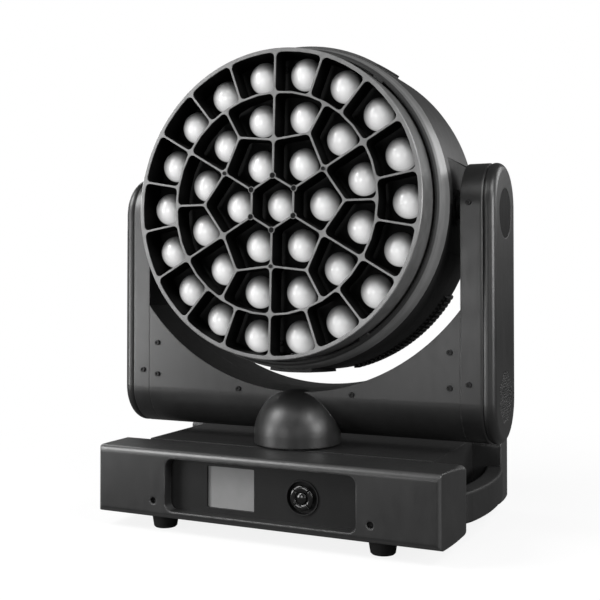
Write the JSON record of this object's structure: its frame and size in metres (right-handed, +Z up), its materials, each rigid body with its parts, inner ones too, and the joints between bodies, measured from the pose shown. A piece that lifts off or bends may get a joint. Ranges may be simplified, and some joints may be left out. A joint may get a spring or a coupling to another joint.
{
  "type": "moving head light",
  "caption": "Moving head light: a round head with domed lenses behind a honeycomb grid tilts in a yoke that pans on a base with a display and keypad.",
  "frame": {"origin": "on the floor under the pan axis, at the middle of the base's footprint", "axes": "+X to the right across the base, -Y out of the front with the display and lenses, +Z up along the pan axis"},
  "size_m": [0.514, 0.312, 0.6069],
  "materials": {
    "satin_black": "satin moulded plastic",
    "soft_black": "black powder coat",
    "panel_black": "fine matte",
    "screen": "blank display window",
    "key_grey": "satin",
    "key_gloss": "polished",
    "rubber": "matte",
    "screw_black": "blackened steel",
    "bare_metal": "machined",
    "steel": "ground",
    "board": "solder mask",
    "badge_gloss": "glossy blank",
    "grid_black": "satin",
    "ring_grey": "satin",
    "lens_clear": "frosted optical plastic",
    "belt": "toothed belt"
  },
  "bodies": {
    "base": {"base_chassis": "soft_black", "base_bottom_plate": "soft_black", "base_front_cover": "satin_black", "base_rear_cover": "satin_black", "control_panel": "panel_black", "display_screen": "screen", "keypad_ring": "panel_black", "left_handle": "satin_black", "right_handle": "satin_black", "rubber_feet": "rubber", "base_screws": "screw_black", "connector_panel": "panel_black", "panel_sockets": "panel_black", "power_supply": "bare_metal", "control_board": "board", "pan_shaft": "steel", "pan_pulley": "bare_metal"},
    "up_key": {"key_up": "key_grey"},
    "down_key": {"key_down": "key_grey"},
    "left_key": {"key_left": "key_grey"},
    "right_key": {"key_right": "key_grey"},
    "enter_key": {"key_enter": "key_gloss"},
    "yoke": {"yoke_frame": "bare_metal", "yoke_front_cover": "satin_black", "yoke_rear_cover": "satin_black", "left_arm_shell": "satin_black", "right_arm_shell": "satin_black", "left_arm_cap": "satin_black", "right_arm_cap": "satin_black", "arm_badges": "badge_gloss", "yoke_screws": "screw_black", "pan_bearing": "steel", "pan_motor": "soft_black", "pan_belt": "belt", "tilt_motor": "soft_black", "tilt_belt": "belt", "tilt_bearings": "steel"},
    "pan_drive": {"pan_pinion": "bare_metal"},
    "tilt_drive": {"tilt_pinion": "bare_metal"},
    "head": {"front_grid": "grid_black", "head_front_ring": "ring_grey", "head_upper_cover": "satin_black", "head_lower_cover": "satin_black", "left_side_plate": "bare_metal", "right_side_plate": "bare_metal", "tilt_pulley": "bare_metal", "heat_sink": "bare_metal", "led_board": "board", "light_rods": "lens_clear", "zoom_motors": "soft_black", "head_rear_cover": "satin_black", "fan_frames": "panel_black", "head_screws": "screw_black"},
    "zoom_carriage": {"lens_carrier": "panel_black", "lens_array": "lens_clear"},
    "top_screw": {"zoom_screw_top": "steel"},
    "bottom_screw": {"zoom_screw_bottom": "steel"},
    "left_fan": {"fan_left": "panel_black"},
    "right_fan": {"fan_right": "panel_black"}
  },
  "joints": [
    {"name": "pan", "type": "hinge", "parent": "base", "child": "yoke", "pos_m": [0, 0, 0.12], "axis": [0, 0, 1], "range_deg": [-270, 270]},
    {"name": "tilt", "type": "hinge", "parent": "yoke", "child": "head", "pos_m": [0, 0, 0.3975], "axis": [1, 0, 0], "range_deg": [-135, 135]},
    {"name": "pan_motor_spin", "type": "hinge", "parent": "yoke", "child": "pan_drive", "pos_m": [0, -0.05, 0.138], "axis": [0, 0, 1], "range_deg": [-900, 900]},
    {"name": "tilt_motor_spin", "type": "hinge", "parent": "yoke", "child": "tilt_drive", "pos_m": [-0.236, 0, 0.165], "axis": [1, 0, 0], "range_deg": [-560, 560]},
    {"name": "zoom", "type": "slide", "parent": "head", "child": "zoom_carriage", "axis": [0, -0.999, 0.0454], "range_m": [-0.02, 0]},
    {"name": "top_screw_turn", "type": "hinge", "parent": "head", "child": "top_screw", "pos_m": [0, -0.05223, 0.57005], "axis": [0, -0.999, 0.0454], "range_deg": [-905, 5]},
    {"name": "bottom_screw_turn", "type": "hinge", "parent": "head", "child": "bottom_screw", "pos_m": [0, -0.06765, 0.2304], "axis": [0, -0.999, 0.0454], "range_deg": [-905, 5]},
    {"name": "left_fan_spin", "type": "hinge", "parent": "head", "child": "left_fan", "pos_m": [-0.06, 0.05494, 0.395], "axis": [0, -0.999, 0.0454], "continuous": true},
    {"name": "right_fan_spin", "type": "hinge", "parent": "head", "child": "right_fan", "pos_m": [0.06, 0.05494, 0.395], "axis": [0, -0.999, 0.0454], "continuous": true},
    {"name": "press_up", "type": "slide", "parent": "base", "child": "up_key", "axis": [0, 1, 0], "range_m": [0, 0.001], "stiffness_N_per_m": 400, "springref_m": -0.0015},
    {"name": "press_down", "type": "slide", "parent": "base", "child": "down_key", "axis": [0, 1, 0], "range_m": [0, 0.001], "stiffness_N_per_m": 400, "springref_m": -0.0015},
    {"name": "press_left", "type": "slide", "parent": "base", "child": "left_key", "axis": [0, 1, 0], "range_m": [0, 0.001], "stiffness_N_per_m": 400, "springref_m": -0.0015},
    {"name": "press_right", "type": "slide", "parent": "base", "child": "right_key", "axis": [0, 1, 0], "range_m": [0, 0.001], "stiffness_N_per_m": 400, "springref_m": -0.0015},
    {"name": "press_enter", "type": "slide", "parent": "base", "child": "enter_key", "axis": [0, 1, 0], "range_m": [0, 0.001], "stiffness_N_per_m": 400, "springref_m": -0.0015}
  ],
  "couplings": [
    {"joint": "pan_motor_spin", "follows": "pan", "ratio": -3.25},
    {"joint": "tilt_motor_spin", "follows": "tilt", "ratio": 4},
    {"joint": "top_screw_turn", "follows": "zoom", "rad_per_m": 785.4},
    {"joint": "bottom_screw_turn", "follows": "zoom", "rad_per_m": 785.4}
  ]
}
